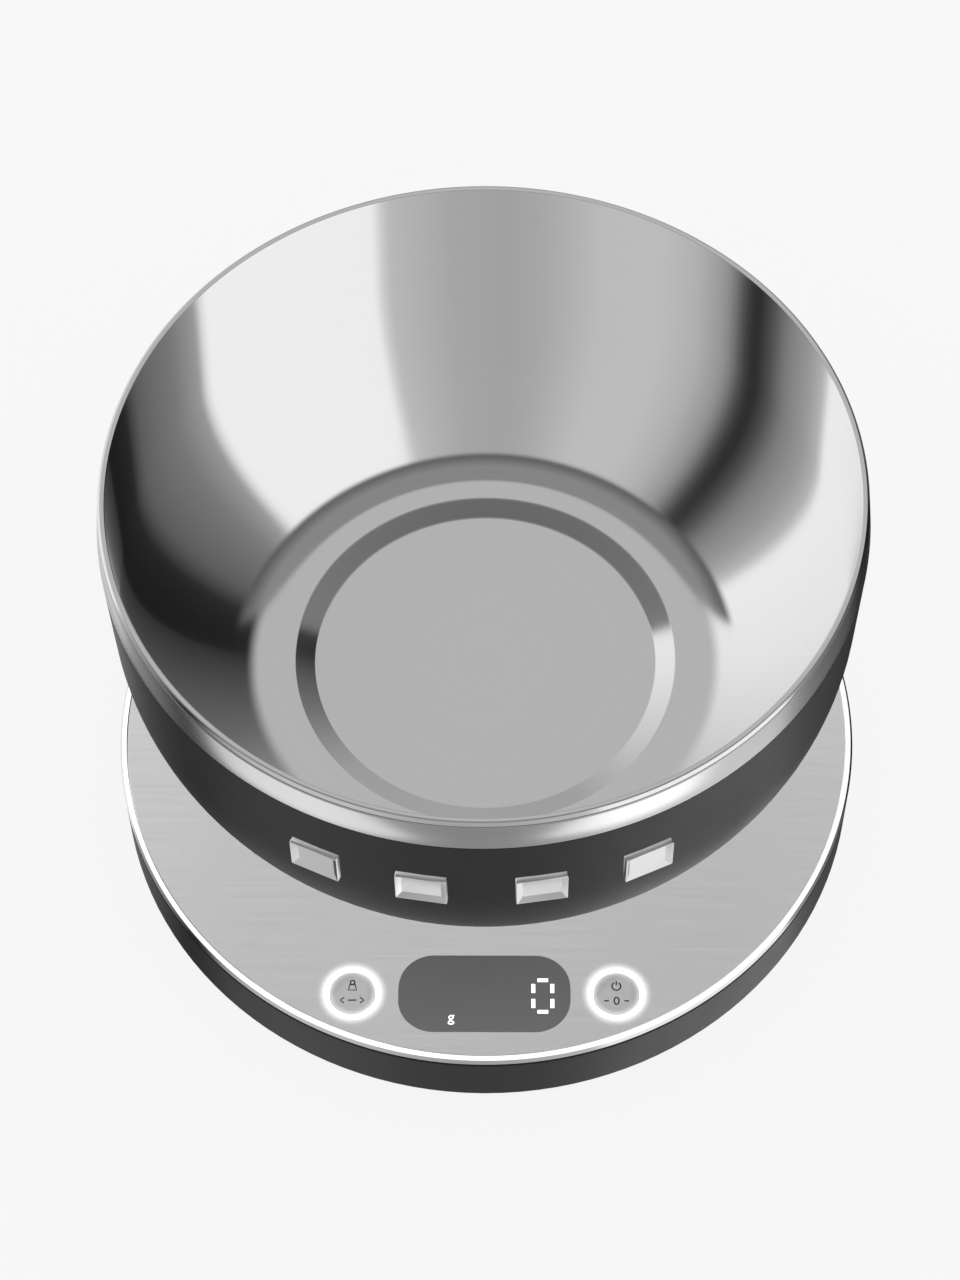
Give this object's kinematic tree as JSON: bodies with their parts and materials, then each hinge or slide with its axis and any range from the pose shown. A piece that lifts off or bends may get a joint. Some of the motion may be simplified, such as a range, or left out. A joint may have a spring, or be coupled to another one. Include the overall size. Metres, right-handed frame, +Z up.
{
  "type": "kitchen scale",
  "caption": "Round electronic kitchen scale: low base with a floating steel platform, a lit display and push keys, and a deep steel bowl on a foot that lifts off.",
  "frame": {"origin": "on the table, under the middle of the round base", "axes": "+Z up; -Y towards the user, where the display and keys are; +X to the user's right"},
  "size_m": [0.21, 0.21, 0.146],
  "materials": {
    "base_plastic": "satin black moulding",
    "tray_plastic": "fine texture, black",
    "screw_steel": "zinc plated",
    "soft_rubber": "soft matte",
    "beam_aluminium": "machined",
    "white_sealant": "soft matte",
    "zinc_steel": "zinc plated",
    "battery_case": "printed sleeve, plain",
    "spring_steel": "nickel plated",
    "circuit_board": "green solder mask",
    "component_black": "moulded",
    "lead_white": "insulation",
    "brushed_plate": "straight brushed along X",
    "bright_trim": "polished",
    "tinted_window": "smoked, mirror backed",
    "light_guide": "frosted, lit from below",
    "key_metal": "straight brushed along X",
    "lamp_white": "clear lens",
    "polished_steel": "satin polished inside",
    "satin_steel": "brushed round the rim",
    "jacket_plastic": "satin black"
  },
  "bodies": {
    "base": {"skirt_ring": "base_plastic", "bottom_tray": "tray_plastic", "tray_screws": "screw_steel", "rubber_feet": "soft_rubber", "load_cell": "beam_aluminium", "gauge_covers": "white_sealant", "cell_base_plate": "zinc_steel", "cell_screws_lower": "screw_steel", "overload_stops": "screw_steel", "batteries": "battery_case", "battery_springs": "spring_steel", "contact_plates": "spring_steel", "main_board": "circuit_board", "board_parts": "component_black", "cell_lead": "lead_white", "battery_lead": "lead_white"},
    "door": {"battery_door": "tray_plastic"},
    "platform": {"cell_spacer": "zinc_steel", "cell_screws_upper": "screw_steel", "carrier": "base_plastic", "top_plate": "brushed_plate", "rim_trim": "bright_trim", "display_lens": "tinted_window", "led_module": "component_black", "display_board": "circuit_board", "board_screws": "screw_steel", "display_ribbon": "lead_white", "light_rings": "light_guide", "switch_bodies": "component_black", "ring_leds": "lamp_white"},
    "unit_key": {"unit_key_cap": "key_metal", "unit_key_plunger": "component_black"},
    "tare_key": {"tare_key_cap": "key_metal", "tare_key_plunger": "component_black"},
    "bowl": {"bowl_shell": "polished_steel", "rim_band": "satin_steel", "bowl_jacket": "jacket_plastic", "badge_bars": "bright_trim", "bowl_pedestal": "jacket_plastic", "pedestal_pad": "soft_rubber", "bowl_studs": "zinc_steel", "pedestal_screws": "screw_steel"}
  },
  "joints": [
    {"name": "platform_press", "type": "slide", "parent": "base", "child": "platform", "axis": [0, 0, -1], "range_m": [0, 0.0006], "stiffness_N_per_m": 100000, "springref_m": -0.0002, "deforming": ["load_cell"]},
    {"name": "bowl_lift", "type": "slide", "parent": "platform", "child": "bowl", "axis": [0, 0, 1], "range_m": [0, 0.12]},
    {"name": "unit_press", "type": "slide", "parent": "platform", "child": "unit_key", "axis": [0, 0, -1], "range_m": [0, 0.0005], "stiffness_N_per_m": 3000, "springref_m": -0.0001},
    {"name": "tare_press", "type": "slide", "parent": "platform", "child": "tare_key", "axis": [0, 0, -1], "range_m": [0, 0.0005], "stiffness_N_per_m": 3000, "springref_m": -0.0001},
    {"name": "door_hinge", "type": "hinge", "parent": "base", "child": "door", "pos_m": [0, 0.05745, 0.0032], "axis": [1, 0, 0], "range_deg": [0, 75]}
  ]
}
